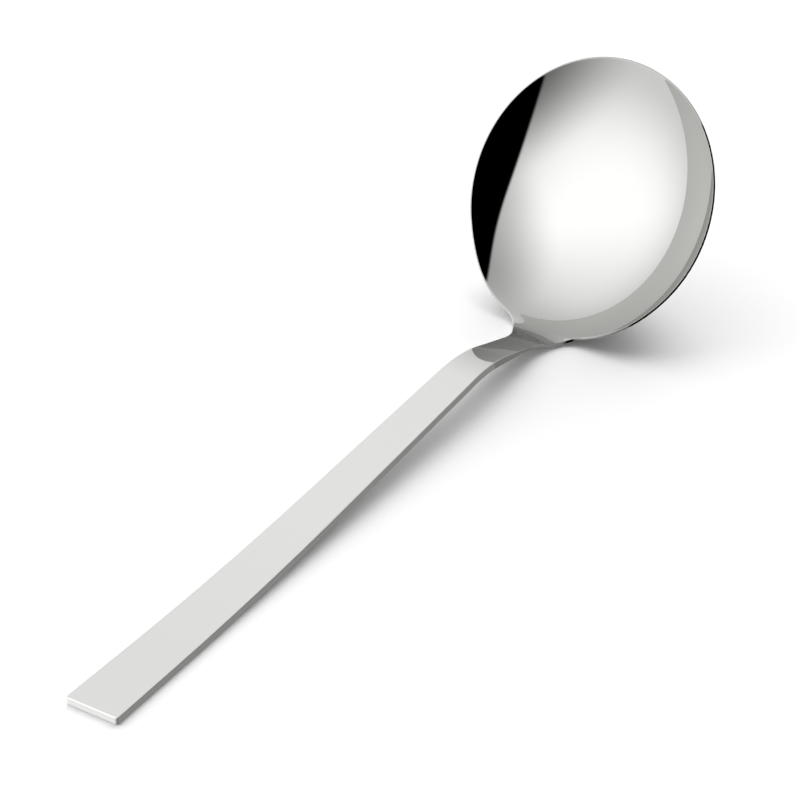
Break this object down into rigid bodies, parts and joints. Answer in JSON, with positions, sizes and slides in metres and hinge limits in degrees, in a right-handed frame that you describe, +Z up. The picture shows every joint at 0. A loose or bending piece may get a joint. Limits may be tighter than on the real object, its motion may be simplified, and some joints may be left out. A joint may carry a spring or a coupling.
{
  "type": "soup ladle",
  "caption": "Steel soup ladle with a round mirror-polished bowl, a short curved neck and a long flat satin handle that widens towards its square end.",
  "frame": {"origin": "on the table, under the middle of the lying ladle's box", "axes": "+X from the handle's free end to the bowl, +Y to the left of the handle seen from above, +Z up from the table"},
  "size_m": [0.2932, 0.0848, 0.0722],
  "materials": {
    "mirror_steel": "mirror polished stainless steel",
    "satin_steel": "satin brushed stainless steel"
  },
  "bodies": {
    "root": {"bowl": "mirror_steel", "bowl_weld": "mirror_steel", "neck": "mirror_steel", "handle_weld": "satin_steel", "handle": "satin_steel"}
  },
  "joints": []
}
